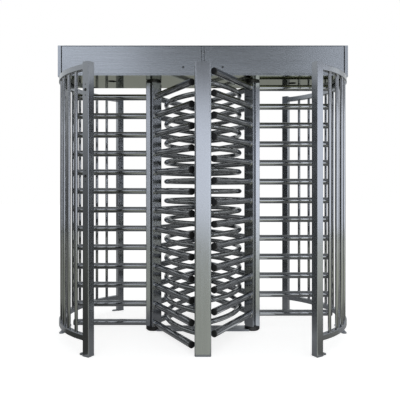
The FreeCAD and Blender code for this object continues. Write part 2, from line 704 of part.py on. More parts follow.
def door(side):
    x0, x1 = sorted((side * door_in, side * door_end))
    panel = tray(x0, x1, DOOR_BOTTOM_RETURN)
    sheet_y = -HEADER_HALF_Y + DOOR_SHEET
    for x in hinge_places(side):
        notch_half = hinge_half + NOTCH_SIDE
        notch = box(x - notch_half, x + notch_half, sheet_y, sheet_y + 40, DOOR_Z1 - NOTCH_DROP, DOOR_Z1 + 1)
        panel = panel.cut(notch)
        link = box(x - hinge_half, x + hinge_half, sheet_y - 0.5, PIVOT_Y, PIVOT_Z - LINK_HALF_H,
                   PIVOT_Z + LINK_HALF_H)
        knuckle = cyl_x(KNUCKLE_R, PIVOT_Y, PIVOT_Z, x - hinge_half, x + hinge_half)
        pin_bore = cyl_x(PIN_R + FIT, PIVOT_Y, PIVOT_Z, x - hinge_half - 1, x + hinge_half + 1)
        panel = fused(panel, link, knuckle).cut(pin_bore)
    lock_hole = cyl_y(LOCK_HOUSING_R, side * LOCK_X, LOCK_Z, -HEADER_HALF_Y - 1, sheet_y + 1)
    return panel.cut(lock_hole)


left_door = door(-1)
right_door = door(1)

hinge_brackets = []
for side in (-1, 1):
    for x in hinge_places(side):
        cheek_x = hinge_half + KNUCKLE_PLAY
        end_x = cheek_x + BRACKET_T
        web_y = high_rail_front - BRACKET_WEB_T
        pin = cyl_x(PIN_R, PIVOT_Y, PIVOT_Z, x - end_x, x + end_x)
        cheeks = []
        for x0 in (x - end_x, x + cheek_x):
            cheeks.append(box(x0, x0 + BRACKET_T, PIVOT_Y - 4, web_y, PIVOT_Z - 5, PIVOT_Z + 4))
        web = box(x - end_x, x + end_x, web_y, high_rail_front, PIVOT_Z - BRACKET_HALF_H,
                  PIVOT_Z + BRACKET_HALF_H)
        hinge_brackets.append(fused(pin, cheeks[0], cheeks[1], web))

TONGUE_Y = -HEADER_HALF_Y + TONGUE_SETBACK


def lock_housing(side):
    x = side * LOCK_X
    body = cyl_y(LOCK_HOUSING_R - FIT, x, LOCK_Z, -HEADER_HALF_Y, TONGUE_Y - 0.5)
    bezel = cyl_y(LOCK_BEZEL_R, x, LOCK_Z, -HEADER_HALF_Y - LOCK_BEZEL_T, -HEADER_HALF_Y)
    return body.fuse(bezel).removeSplitter().cut(
        cyl_y(LOCK_PLUG_R + FIT, x, LOCK_Z, -HEADER_HALF_Y - 3, TONGUE_Y + 1))


def lock_cam(side):
    x = side * LOCK_X
    plug = cyl_y(LOCK_PLUG_R, x, LOCK_Z, -HEADER_HALF_Y - LOCK_BEZEL_T, TONGUE_Y + TONGUE_T)
    slot = box(x - KEY_SLOT_HALF_W, x + KEY_SLOT_HALF_W, -HEADER_HALF_Y - LOCK_BEZEL_T - 1,
               -HEADER_HALF_Y + KEY_SLOT_DEPTH, LOCK_Z - KEY_SLOT_HALF_H, LOCK_Z + KEY_SLOT_HALF_H)
    half = TONGUE_W / 2
    x0, x1 = sorted((x, x - side * (TONGUE_L - half)))
    tongue = box(x0, x1, TONGUE_Y, TONGUE_Y + TONGUE_T, LOCK_Z - half, LOCK_Z + half)
    ends = [cyl_y(half, end, LOCK_Z, TONGUE_Y, TONGUE_Y + TONGUE_T) for end in (x0, x1)]
    return fused(plug.cut(slot), tongue, ends[0], ends[1])


# Head machinery over each rotor
plate = box(-PLATE_HALF_X, PLATE_HALF_X, low_rail_front, -low_rail_front, LOW_RAIL_TOP, PLATE_TOP).cut(
    cyl(SHAFT_R + 2, 0, 0, LOW_RAIL_TOP - 1, PLATE_TOP + 1))
bearing = box(-BEARING_HALF, BEARING_HALF, -BEARING_HALF, BEARING_HALF, PLATE_TOP, BEARING_TOP).cut(
    cyl(SHAFT_R + FIT, 0, 0, PLATE_TOP - 1, BEARING_TOP + 1))
brake = cyl(BRAKE_R, 0, 0, BRAKE_Z, LOW_RAIL_TOP).cut(cyl(SHAFT_R + 1, 0, 0, BRAKE_Z - 1, LOW_RAIL_TOP + 1))
bridge_out = BRIDGE_HALF_X + BRIDGE_T
bridge_end = bridge_out + BRIDGE_TAB
bridge = box(-bridge_out, bridge_out, -BRIDGE_HALF_Y, BRIDGE_HALF_Y, BRIDGE_Z, BRIDGE_Z + BRIDGE_T)
for x0, x1, top in ((BRIDGE_HALF_X, bridge_out, BRIDGE_Z + BRIDGE_T),
                    (BRIDGE_HALF_X, bridge_end, PLATE_TOP + BRIDGE_T)):
    for a, b in ((x0, x1), (-x1, -x0)):
        bridge = fused(bridge, box(a, b, -BRIDGE_HALF_Y, BRIDGE_HALF_Y, PLATE_TOP, top))
bridge = bridge.cut(cyl(JOURNAL_R + 2, 0, 0, BRIDGE_Z - 1, BRIDGE_Z + BRIDGE_T + 1))
encoder = cyl(ENCODER_R, 0, 0, ENCODER_Z, ENCODER_Z + ENCODER_H).cut(
    cyl(JOURNAL_R + FIT, 0, 0, ENCODER_Z - 1, ENCODER_Z + ENCODER_H + 1))

supply_x1 = HEADER_HALF_X - SUPPLY_END
power_supply = box(
    supply_x1 - SUPPLY_L, supply_x1, -SUPPLY_HALF_Y, SUPPLY_HALF_Y, SOFFIT_TOP, SOFFIT_TOP + SUPPLY_H)
duct_x = HEADER_HALF_X - DUCT_END
duct_y1 = RAIL_Y - half_low - DUCT_GAP
duct_y0 = duct_y1 - DUCT_W
control_half_y = duct_y0 - CONTROL_GAP
control_box = box(
    -CONTROL_HALF_X, CONTROL_HALF_X, -control_half_y, control_half_y, SOFFIT_TOP, SOFFIT_TOP + CONTROL_H)
duct_hollow = box(-duct_x - 1, duct_x + 1, duct_y0 + DUCT_WALL, duct_y1 - DUCT_WALL, SOFFIT_TOP + DUCT_WALL,
                  SOFFIT_TOP + DUCT_H + 1)
duct = box(-duct_x, duct_x, duct_y0, duct_y1, SOFFIT_TOP, SOFFIT_TOP + DUCT_H).cut(duct_hollow)

nodes = {
    "outlet_post": outlet_post, "side_posts": side_posts, "post_feet": post_feet,
    "centre_posts": centre_posts, "centre_feet": centre_feet, "centre_tie": centre_tie,
    "top_rings": top_rings, "bottom_rings": bottom_rings,
    "cage_bars_left": cage_bars_left, "cage_bars_right": cage_bars_right,
    "mid_legs": mid_legs, "leg_feet": leg_feet,
    "comb_left": comb_left, "comb_right": comb_right,
    "floor_bearings": floor_bearings, "floor_sill": sill,
    "soffit_centre": soffit_centre, "soffit_ends": soffit_ends,
    "lamps": lamps, "collars": collars,
    "low_rails": low_rails, "high_rails": high_rails, "uprights": uprights,
    "header_ends": header_ends, "top_cover": top_cover,
    "rear_panel": rear_panel, "panel_blocks": panel_blocks, "panel_screws": panel_screws,
    "centre_strip": strip, "hinge_brackets": hinge_brackets,
    "bearing_plates": both_sides(plate), "head_bearings": both_sides(bearing), "brakes": both_sides(brake),
    "encoder_bridges": both_sides(bridge), "encoders": both_sides(encoder),
    "control_box": control_box, "power_supply": power_supply, "cable_duct": duct,
    "left_door": left_door, "right_door": right_door,
    "left_lock_housing": lock_housing(-1), "right_lock_housing": lock_housing(1),
    "left_lock_cam": lock_cam(-1), "right_lock_cam": lock_cam(1)}
for name, item in left_rotor.items():
    nodes["left_" + name] = item
for name, item in right_rotor.items():
    nodes["right_" + name] = item

os.makedirs("parts", exist_ok=True)
for name, item in nodes.items():
    solids = solids_of(item)
    for solid in solids:
        if not solid.isValid() or not solid.isClosed():
            raise RuntimeError(name + " has a solid that is not valid and closed")
    shape = solids[0] if len(solids) == 1 else Part.makeCompound(solids)
    shape.exportStep("parts/" + name + ".step")
    print(name, len(solids), round(sum(s.Volume for s in solids) / 1000.0, 1), "cm3")
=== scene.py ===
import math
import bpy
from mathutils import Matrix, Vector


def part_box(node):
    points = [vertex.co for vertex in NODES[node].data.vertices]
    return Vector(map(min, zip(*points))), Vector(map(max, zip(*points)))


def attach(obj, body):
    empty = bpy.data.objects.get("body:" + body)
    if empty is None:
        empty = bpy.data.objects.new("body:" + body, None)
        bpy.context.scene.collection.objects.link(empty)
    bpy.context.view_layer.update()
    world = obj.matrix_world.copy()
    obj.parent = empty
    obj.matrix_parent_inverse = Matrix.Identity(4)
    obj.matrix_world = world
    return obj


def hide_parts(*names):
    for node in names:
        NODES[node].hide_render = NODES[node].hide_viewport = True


bl_info = {
    "name": "Full Height Turnstile",
    "version": (1, 0, 0),
    "blender": (4, 5, 0),
    "location": "View3D > Sidebar > Turnstile",
    "description": "Finishes, weld beads, screw heads and a studio for a two-lane full height turnstile",
    "category": "Object",
}

import bmesh
import bpy
from bpy.props import FloatProperty, FloatVectorProperty, IntProperty, PointerProperty
from mathutils import Vector

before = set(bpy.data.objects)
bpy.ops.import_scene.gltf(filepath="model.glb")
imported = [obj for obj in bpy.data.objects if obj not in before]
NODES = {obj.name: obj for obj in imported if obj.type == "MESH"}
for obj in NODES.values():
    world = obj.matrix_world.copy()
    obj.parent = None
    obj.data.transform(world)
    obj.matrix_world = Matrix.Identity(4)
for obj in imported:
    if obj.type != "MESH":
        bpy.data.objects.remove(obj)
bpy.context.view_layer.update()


def from_hex(text):
    channels = [int(text[i:i + 2], 16) / 255 for i in (1, 3, 5)]
    return tuple(c / 12.92 if c <= 0.04045 else ((c + 0.055) / 1.055) ** 2.4 for c in channels)


def colour(label, text, about):
    return FloatVectorProperty(name=label, description=about, subtype="COLOR", size=3, min=0, max=1,
                               default=from_hex(text))


def length(label, metres, about):
    return FloatProperty(name=label, description=about, subtype="DISTANCE", unit="LENGTH", default=metres,
                         min=0.0, precision=4)


def degrees(label, value, about):
    return FloatProperty(name=label, description=about, subtype="ANGLE", default=math.radians(value))


def share(label, value, about):
    return FloatProperty(name=label, description=about, subtype="FACTOR", default=value, min=0.0, max=1.0)


def whole(label, number, about):
    return IntProperty(name=label, description=about, default=number, min=0)


# The rings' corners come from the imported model
TOP_RING_LOW, TOP_RING_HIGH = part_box("top_rings")
BOTTOM_RING_LOW, BOTTOM_RING_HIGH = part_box("bottom_rings")


class TurnstileSizes(bpy.types.PropertyGroup):
    rotor_offset: length("Rotor offset", 0.411, "Distance of each rotor's axis from the middle")
    ring_radius: length("Cage radius", 0.738, "Radius of the cage rings' centre line and of the bars")
    comb_radius: length("Comb radius", 0.714, "Radius of the comb tubes' centre line")
    comb_face: length("Comb end", 0.5684, "Distance from the middle to the centre posts' inner faces")
    comb_tube: length("Comb tube radius", 0.019, "Outside radius of a comb tube")
    arm_radius: length("Arm radius", 0.0254, "Outside radius of an arm tube")
    arm_root: length("Arm root", 0.060, "Distance of the column's faces from the rotor's axis")
    arm_levels: whole("Arm levels", 13, "Arms in one wing of a rotor")
    bar_radius: length("Bar radius", 0.0127, "Outside radius of a cage bar")
    bar_count: whole("Bars", 12, "Round bars in one cage")
    bar_step: degrees("Bar step", 8.547, "Angle from one bar to the next round the rotor's axis")
    comb_levels: whole("Comb levels", 12, "Comb tubes in one cage")
    level_pitch: length("Level pitch", 0.1565, "Height from one arm to the next")
    first_level: length("First level", 0.060, "Height of the left rotor's lowest arms")
    post_angle: degrees("Post bearing", 57.86, "Angle of the side posts round the rotor's axis")
    post_half: length("Post half width", 0.0286, "Half the width of a side post")
    ring_half: length("Ring half width", 0.020, "Half the width of a ring's square tube")
    ring_corner: length("Ring corner", 0.003, "Radius in which a bead turns a ring's corner")
    arm_bead: length("Arm weld bead", 0.0026, "Radius of the weld bead round an arm's root")
    comb_bead: length("Comb weld bead", 0.0024, "Radius of the weld bead round a comb tube's end")
    bar_bead: length("Bar weld bead", 0.0016, "Radius of the weld bead round a bar's end")
    ring_bead: length("Ring weld bead", 0.0022, "Radius of the weld bead round a ring's end")
    ripple_pitch: length("Ripple pitch", 0.0045, "Distance between two ripples of a weld bead")
    post_ring: length("Post ring radius", 0.741, "Distance of the side posts' middle from the rotor's axis")
    outlet_radius: length("Outlet radius", 0.010, "Radius of the two cable outlets")
    outlet_levels: FloatVectorProperty(name="Outlet levels", description="Heights of the two cable outlets",
                                       subtype="XYZ", unit="LENGTH", size=2, default=(1.867, 1.263))
    outlet_screw_rise: length("Outlet screw rise", 0.038, "Height from an outlet to its screw holes")
    outlet_screw_radius: length("Outlet screw radius", 0.0035, "Radius of an outlet's screw holes")
    grommet_lip: length("Grommet lip", 0.0012, "How far a grommet stands out of the post")
    grommet_seat: length("Grommet seat", 0.003, "How far a grommet reaches into the post")
    screw_beside: length("Screw offset", 0.015, "Distance of a column's screws from the middle of its face")
    screw_radius: length("Screw head radius", 0.005, "Radius of a button head on the columns")
    screw_height: length("Screw head height", 0.002, "Height of a button head on the columns")
    screw_key: length("Screw key", 0.0015, "Half the width across the flats of a button head's socket")


class TurnstileFinishes(bpy.types.PropertyGroup):
    tube: colour("Tube steel", "#8b8e93", "Colour of the brushed square tube")
    round_tube: colour("Round tube steel", "#888a8d", "Colour of the belt-polished round tube")
    bent_tube: colour("Bent tube steel", "#838586", "Colour of the bent comb tubes, polished after bending")
    sheet: colour("Header sheet", "#8a8e93", "Colour of the brushed header sheet")
    # The underside's green-yellow colour is partly the steel's own grey and partly a painted reflection of a
    # greenish floor.
    underside: colour("Underside sheet", "#95987f", "Colour of the polished underside")
    black_paint: colour("Black paint", "#0d0d0e", "Colour of the black bearing housings")
    # Near-black rubber, partly painted shade where the outlets and screw holes would be dark inside.
    rubber: colour("Rubber", "#0c0c0d", "Colour of the rubber grommets in the cable outlets")
    oxide: colour("Black oxide", "#2a2a2c", "Colour of the blackened screws on the columns")
    plug: colour("Arm plugs", "#121213", "Colour of the moulded arm plugs")
    tube_roughness: share("Tube roughness", 0.22, "Roughness of the brushed square tube")
    round_roughness: share("Round tube roughness", 0.1, "Roughness of the belt-polished tube")
    sheet_roughness: share("Sheet roughness", 0.26, "Roughness of the brushed header sheet")
    underside_roughness: share("Underside roughness", 0.06, "Roughness of the polished underside")


class TurnstileStudio(bpy.types.PropertyGroup):
    camera_distance: length("Camera distance", 3.942, "Distance of the camera from the turnstile's middle")
    camera_height: length("Camera height", 1.1776, "Height of the camera over the floor")
    lens: FloatProperty(name="Lens", description="Focal length on a 36 mm sensor", subtype="DISTANCE_CAMERA",
                        default=42.43, min=10)
    camera_shift: FloatVectorProperty(name="Camera shift", size=2, default=(-0.0072, -0.0291),
                                      description="Sideways and upward shift, in picture widths")
    floor_size: length("Floor size", 60.0, "Side of the pale floor")
    floor_glow: share("Floor glow", 0.77, "Brightness that brings the floor up to the white background")
    floor_mirrored: share("Mirrored floor", 0.2, "Share of the floor's glow that the steel mirrors")
    world_level: share("World level", 0.62, "Brightness of the world for matt surfaces")
    wall_distance: length("Wall distance", 9.6, "Distance of the studio's front wall from the turnstile")
    side_distance: length("Side distance", 8.0, "Distance of the studio's side walls from the middle")
    ceiling_height: length("Ceiling height", 8.5, "Height of the studio's ceiling")
    seed: whole("Seed", 7, "Start of the weld beads' unevenness")


# Materials

def add_node(tree, kind, settings=None, inputs=None):
    """Adds one node with its attributes and sockets. A socket given as a value is linked."""
    node = tree.nodes.new(kind)
    for key, value in (settings or {}).items():
        setattr(node, key, value)
    for key, value in (inputs or {}).items():
        if isinstance(value, bpy.types.NodeSocket):
            tree.links.new(value, node.inputs[key])
        else:
            node.inputs[key].default_value = value
    return node


def blank_material(name):
    material = bpy.data.materials.get(name)
    if material is not None:
        bpy.data.materials.remove(material)
    material = bpy.data.materials.new(name)
    material.use_nodes = True
    material.node_tree.nodes.clear()
    return material, material.node_tree


def shaded(tree, shader):
    output = add_node(tree, "ShaderNodeOutputMaterial")
    tree.links.new(shader.outputs[0], output.inputs["Surface"])


def dark_and_light(base, spread):
    dark = tuple(c * (1 - spread) for c in base) + (1.0,)
    light = tuple(min(1.0, c * (1 + spread)) for c in base) + (1.0,)
    return dark, light


def per_metre(millimetres):
    return 1000.0 / millimetres


def brushed_shader(tree, base, roughness, patch_mm, stretch, across_mm, depth_mm, spread):
    """Steel whose abrasive lines are across_mm apart and run along the axis with the smallest stretch."""
    streak_mm = across_mm * 9
    streak_weight = 0.45
    patch_weight = 0.35
    place = add_node(tree, "ShaderNodeTexCoord")
    lines = add_node(tree, "ShaderNodeMapping", None, {"Vector": place.outputs["Object"], "Scale": stretch})
    fine = add_node(tree, "ShaderNodeTexNoise", None,
                    {"Vector": lines.outputs[0], "Scale": per_metre(across_mm), "Detail": 3.0,
                     "Roughness": 0.6})
    streaks = add_node(tree, "ShaderNodeTexNoise", None,
                       {"Vector": lines.outputs[0], "Scale": per_metre(streak_mm), "Detail": 2.0})
    patches = add_node(tree, "ShaderNodeTexNoise", None,
                       {"Vector": place.outputs["Object"], "Scale": per_metre(patch_mm), "Detail": 4.0})
    mixed = add_node(tree, "ShaderNodeMath", {"operation": "MULTIPLY_ADD"},
                     {0: streaks.outputs[0], 1: streak_weight, 2: fine.outputs[0]})
    total = add_node(tree, "ShaderNodeMath", {"operation": "MULTIPLY_ADD"},
                     {0: patches.outputs[0], 1: patch_weight, 2: mixed.outputs[0]})
    dark, light = dark_and_light(base, spread)
    tint = add_node(tree, "ShaderNodeValToRGB", None, {"Fac": total.outputs[0]})
    tint.color_ramp.elements[0].position = 0.62
    tint.color_ramp.elements[0].color = dark
    tint.color_ramp.elements[1].position = 1.0
    tint.color_ramp.elements[1].color = light
    dull = add_node(tree, "ShaderNodeMapRange", None,
                    {"Value": total.outputs[0], "From Min": 0.6, "From Max": 1.15,
                     "To Min": roughness * 0.82, "To Max": roughness * 1.18})
    lift = add_node(tree, "ShaderNodeBump", None,
                    {"Height": fine.outputs[0], "Distance": depth_mm / 1000.0, "Strength": 0.35})
    return add_node(tree, "ShaderNodeBsdfPrincipled", None,
                    {"Base Color": tint.outputs[0], "Metallic": 1.0, "Roughness": dull.outputs[0],
                     "Normal": lift.outputs[0]})


def brushed_steel(name, base, roughness, patch_mm, stretch, across_mm, depth_mm, spread=0.05):
    material, tree = blank_material(name)
    shaded(tree, brushed_shader(tree, base, roughness, patch_mm, stretch, across_mm, depth_mm, spread))
    return material


def level_and_upright(name, level, upright):
    """One finish on a sheet's level face and another on its edges, each as brushed_shader's arguments."""
    material, tree = blank_material(name)
    place = add_node(tree, "ShaderNodeTexCoord")
    split = add_node(tree, "ShaderNodeSeparateXYZ", None, {0: place.outputs["Normal"]})
    steep = add_node(tree, "ShaderNodeMath", {"operation": "ABSOLUTE"}, {0: split.outputs["Z"]})
    lying = add_node(tree, "ShaderNodeMath", {"operation": "GREATER_THAN"}, {0: steep.outputs[0], 1: 0.5})
    edge = brushed_shader(tree, *upright)
    face = brushed_shader(tree, *level)
    shaded(tree, add_node(tree, "ShaderNodeMixShader", None,
                          {0: lying.outputs[0], 1: edge.outputs[0], 2: face.outputs[0]}))
    return material


def polished_round_tube(name, base, roughness):
    """Round tube from a belt polisher, whose lines are too fine to show and are drawn as a soft grain."""
    grain_mm = 6
    depth_mm = 0.02
    patch_mm = 170
    patch_weight = 0.6
    spread = 0.05
    material, tree = blank_material(name)
    place = add_node(tree, "ShaderNodeTexCoord")
    fine = add_node(tree, "ShaderNodeTexNoise", None,
                    {"Vector": place.outputs["Object"], "Scale": per_metre(grain_mm), "Detail": 5.0,
                     "Roughness": 0.65})
    patches = add_node(tree, "ShaderNodeTexNoise", None,
                       {"Vector": place.outputs["Object"], "Scale": per_metre(patch_mm), "Detail": 3.0})
    total = add_node(tree, "ShaderNodeMath", {"operation": "MULTIPLY_ADD"},
                     {0: patches.outputs[0], 1: patch_weight, 2: fine.outputs[0]})
    dark, light = dark_and_light(base, spread)
    tint = add_node(tree, "ShaderNodeValToRGB", None, {"Fac": total.outputs[0]})
    tint.color_ramp.elements[0].position = 0.55
    tint.color_ramp.elements[0].color = dark
    tint.color_ramp.elements[1].position = 1.0
    tint.color_ramp.elements[1].color = light
    dull = add_node(tree, "ShaderNodeMapRange", None,
                    {"Value": total.outputs[0], "From Min": 0.5, "From Max": 1.1,
                     "To Min": roughness * 0.8, "To Max": roughness * 1.25})
    lift = add_node(tree, "ShaderNodeBump", None,
                    {"Height": fine.outputs[0], "Distance": depth_mm / 1000.0, "Strength": 0.3})
    shader = add_node(tree, "ShaderNodeBsdfPrincipled", None,
                      {"Base Color": tint.outputs[0], "Metallic": 1.0, "Roughness": dull.outputs[0],
                       "Normal": lift.outputs[0]})
    shaded(tree, shader)
    return material


def speckled(name, base, roughness, metallic, grain_mm, spread, depth_mm, pattern="ShaderNodeTexNoise"):
    """A surface with one grain of a real size: paint, moulded plastic, cast or galvanised metal."""
    wear_mm = 140
    wear_weight = 0.5
    material, tree = blank_material(name)
    place = add_node(tree, "ShaderNodeTexCoord")
    grain = add_node(tree, pattern, None, {"Vector": place.outputs["Object"], "Scale": per_metre(grain_mm)})
    height = grain.outputs[0]
    wear = add_node(tree, "ShaderNodeTexNoise", None,
                    {"Vector": place.outputs["Object"], "Scale": per_metre(wear_mm), "Detail": 5.0})
    total = add_node(tree, "ShaderNodeMath", {"operation": "MULTIPLY_ADD"},
                     {0: wear.outputs[0], 1: wear_weight, 2: height})
    dark, light = dark_and_light(base, spread)
    tint = add_node(tree, "ShaderNodeValToRGB", None, {"Fac": total.outputs[0]})
    tint.color_ramp.elements[0].position = 0.45
    tint.color_ramp.elements[0].color = dark
    tint.color_ramp.elements[1].position = 1.0
    tint.color_ramp.elements[1].color = light
    dull = add_node(tree, "ShaderNodeMapRange", None,
                    {"Value": total.outputs[0], "From Min": 0.4, "From Max": 1.1,
                     "To Min": roughness * 0.85, "To Max": min(1.0, roughness * 1.2)})
    lift = add_node(tree, "ShaderNodeBump", None,
                    {"Height": height, "Distance": depth_mm / 1000.0, "Strength": 0.5})
    shader = add_node(tree, "ShaderNodeBsdfPrincipled", None,
                      {"Base Color": tint.outputs[0], "Metallic": metallic, "Roughness": dull.outputs[0],
                       "Normal": lift.outputs[0]})
    shaded(tree, shader)
    return material


def dress(names, material):
    for name in names:
        mesh = NODES[name].data
        mesh.materials.clear()
        mesh.materials.append(material)


def both(*names):
    return [side + "_" + name for side in ("left", "right") for name in names]


# Places round the rotors

SIDES = (("left", -1), ("right", 1))
UP = Vector((0, 0, 1))


def rotor_axis(sizes, sign):
    return Vector((sign * sizes.rotor_offset, 0, 0))


def outward(bearing):
    return Vector((math.cos(bearing), math.sin(bearing), 0))


def anticlockwise(bearing):
    """The way that a point at this bearing moves when it turns anticlockwise, seen from above."""
    return Vector((-math.sin(bearing), math.cos(bearing), 0))


def wing_bearings(side):
    return [math.radians(a) for a in ((180, 300, 60) if side == "left" else (0, 120, 240))]


def lowest_arm(sizes, side):
    """The right rotor's arms stand half a level over the left one's."""
    return sizes.first_level + (0 if side == "left" else sizes.level_pitch / 2)


def cage_bearing(sign, bearing):
    """A bearing from the middle of a cage: the left cage lies to the left of its rotor."""
    return bearing + (math.pi if sign < 0 else 0)


# Weld beads

# How finely a bead is drawn: the sides of its section, and the steps along it
BEAD_SIDES = 6
LEAST_STEPS = 24
STEPS_PER_RIPPLE = 2.5
CORNER_STEPS = 3
STRAIGHT_STEPS = 14
# A bead swells with each ripple, and more slowly as the welder's hand wanders
RIPPLE_SWELL = 0.16
WANDER_SWELL = 0.08
WANDER_PITCH = 0.031
WANDER_PHASE = 3.1
# How far a bead's ripples start from those of the one before
WING_PHASE = 1.7
ARM_PHASE = 2.3
BAR_PHASE = 1.3
COMB_PHASE = 1.9


def bead_along(bm, points, normals, radius, ripple_pitch, phase):
    """A closed bead along points; each normal points away from the corner that the bead fills."""
    count = len(points)
    travelled = 0.0
    rings = []
    for number in range(count):
        here = points[number]
        ahead = points[(number + 1) % count]
        behind = points[number - 1]
        along = (ahead - behind).normalized()
        travelled += (here - behind).length
        swell = 1.0 + RIPPLE_SWELL * math.sin(phase + travelled * math.tau / ripple_pitch)
        swell += WANDER_SWELL * math.sin(phase * WANDER_PHASE + travelled * math.tau / WANDER_PITCH)
        across = along.cross(normals[number]).normalized()
        up = across.cross(along).normalized()
        ring = []
        for side in range(BEAD_SIDES):
            angle = math.tau * side / BEAD_SIDES
            offset = (across * math.cos(angle) + up * math.sin(angle)) * (radius * swell)
            ring.append(bm.verts.new(here + offset))
        rings.append(ring)
    for number in range(count):
        a = rings[number]
        b = rings[(number + 1) % count]
        for side in range(BEAD_SIDES):
            other = (side + 1) % BEAD_SIDES
            bm.faces.new((a[side], a[other], b[other], b[side]))


def circle_bead(bm, centre, first, second, radius, bead, ripple_pitch, phase, stretch=1.0):
    """A bead round a round tube. It is stretched along the first way where the tube meets its post aslant."""
    steps = max(LEAST_STEPS, int(math.tau * radius / ripple_pitch * STEPS_PER_RIPPLE))
    points = []
    normals = []
    for number in range(steps):
        angle = math.tau * number / steps
        out = first * (math.cos(angle) * stretch) + second * math.sin(angle)
        points.append(centre + out * radius)
        normals.append(out.normalized())
    bead_along(bm, points, normals, bead, ripple_pitch, phase)


def corner_point(centre, first, second, half, corner, quarter, bend):
    """A point on the rounded corner of a square, after this many bends of it, and the way out there."""
    start = quarter * math.pi / 2
    diagonal = start + math.pi / 4
    angle = start + bend * math.pi / 2 / CORNER_STEPS
    turn = first * math.cos(angle) + second * math.sin(angle)
    across = math.copysign(half - corner, math.cos(diagonal))
    along = math.copysign(half - corner, math.sin(diagonal))
    return centre + first * across + second * along + turn * corner, turn


def square_bead(bm, centre, first, second, half, corner, bead, ripple_pitch, phase):
    """A bead round a square tube: an arc at each corner, and a straight run to the next."""
    points = []
    normals = []
    for quarter in range(4):
        for bend in range(CORNER_STEPS + 1):
            point, turn = corner_point(centre, first, second, half, corner, quarter, bend)
            points.append(point)
            normals.append(turn)
        last = points[-1]
        end, turn = corner_point(centre, first, second, half, corner, quarter + 1, 0)
        for step in range(1, STRAIGHT_STEPS):
            points.append(last.lerp(end, step / STRAIGHT_STEPS))
            normals.append(turn)
    bead_along(bm, points, normals, bead, ripple_pitch, phase)


def mesh_piece(name, bm, material, body):
    old = bpy.data.objects.get(name)
    if old is not None:
        bpy.data.objects.remove(old)
    bmesh.ops.recalc_face_normals(bm, faces=bm.faces)
    mesh = bpy.data.meshes.new(name)
    bm.to_mesh(mesh)
    bm.free()
    for face in mesh.polygons:
        face.use_smooth = True
    mesh.materials.append(material)
    piece = bpy.data.objects.new(name, mesh)
    bpy.context.scene.collection.objects.link(piece)
    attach(piece, body)
    return piece


# Finishes

class TURNSTILE_OT_cages(bpy.types.Operator):
    """Finishes the posts, rings, legs, feet and bars of both cages"""
    bl_idname = "turnstile.cages"
    bl_label = "Cages"

    def execute(self, context):
        finish = context.scene.turnstile_finishes
        # Square stainless tube, type 304, brushed along its length with a 180 grit belt: a soft streaked
        # sheen. The real lines are 0.1 mm apart, and are drawn 1.2 mm apart so that they show. The side
        # posts' feet are brushed with them.
        upright = brushed_steel("Brushed 304 square tube", finish.tube, finish.tube_roughness, 240,
                                (1.0, 1.0, 0.02), 1.2, 0.04)
        dress(["outlet_post", "side_posts", "mid_legs", "post_feet"], upright)
        # The centre posts are the same tube in a wider section, with its lines drawn 1.4 mm apart.
        wide = brushed_steel("Brushed 304 wide tube", finish.tube, finish.tube_roughness, 320,
                             (1.0, 1.0, 0.012), 1.4, 0.04)
        dress(["centre_posts"], wide)
        # Rings are the same tube, bent and brushed again by hand, so their lines run level.
        bent = brushed_steel("Hand-brushed 304 bent tube", finish.tube, finish.tube_roughness * 1.05, 200,
                             (0.15, 0.15, 1.0), 1.4, 0.04)
        dress(["top_rings", "bottom_rings"], bent)
        # The other feet, the sill and the tie plate are laser-cut from hot-rolled stainless plate: duller
        # and more even, with a pickled grain that is drawn 2.5 mm wide.
        plate = speckled("Cut 304 plate", finish.tube, 0.42, 1.0, 2.5, 0.12, 0.03)
        dress(["leg_feet", "centre_feet", "floor_sill", "centre_tie"], plate)
        # Round bar, type 304, belt-polished: a softly uneven shine down its whole length.
        bars = polished_round_tube("Belt-polished 304 bar", finish.round_tube, finish.round_roughness)
        dress(["cage_bars_left", "cage_bars_right"], bars)
        return {"FINISHED"}


class TURNSTILE_OT_combs(bpy.types.Operator):
    """Finishes the two sets of bent comb tubes"""
    bl_idname = "turnstile.combs"
    bl_label = "Comb tubes"

    def execute(self, context):
        finish = context.scene.turnstile_finishes
        # Stainless round tube, type 304, bent over a former and belt-polished: a softly uneven shine.
        tube = polished_round_tube("Bent 304 round tube", finish.bent_tube, finish.round_roughness)
        dress(["comb_left", "comb_right"], tube)
        return {"FINISHED"}


class TURNSTILE_OT_rotors(bpy.types.Operator):
    """Finishes the columns, arms, plugs and hubs of both rotors"""
    bl_idname = "turnstile.rotors"
    bl_label = "Rotors"

    def execute(self, context):
        finish = context.scene.turnstile_finishes
        # Arms are round tube, type 304, belt-polished: a softly uneven shine with little haze.
        tube = polished_round_tube("Belt-polished 304 arm tube", finish.round_tube, finish.round_roughness)
        dress(both("arms"), tube)
        # Columns are rectangular tube, type 304, brushed like the posts: a soft streaked sheen.
        column = brushed_steel("Brushed 304 column tube", finish.tube, finish.tube_roughness, 240,
                               (1.0, 1.0, 0.02), 1.2, 0.04)
        dress(both("column"), column)
        # Arm plugs are injection-moulded polyamide 6: matt black with a fine spark-eroded grain of 0.3 mm,
        # drawn 1.5 mm wide so that it shows.
        plug = speckled("Moulded black polyamide", finish.plug, 0.42, 0.0, 1.5, 0.25, 0.03)
        dress(both("arm_caps"), plug)
        # Hubs and the core are steel with black powder coat: a low even gloss with a little orange peel.
        coat = speckled("Black powder-coated steel", finish.black_paint, 0.38, 0.0, 2.2, 0.3, 0.05)
        dress(both("hubs", "core"), coat)
        dress(["floor_bearings", "collars"], coat)
        # Shafts and armatures are turned from carbon steel: bright rings of a lathe tool, 0.2 mm apart and
        # drawn 1 mm apart.
        turned = brushed_steel("Turned carbon steel", from_hex("#9d9d9b"), 0.24, 90, (0.1, 0.1, 1.0),
                               1.0, 0.03)
        dress(both("shaft", "armature"), turned)
        return {"FINISHED"}


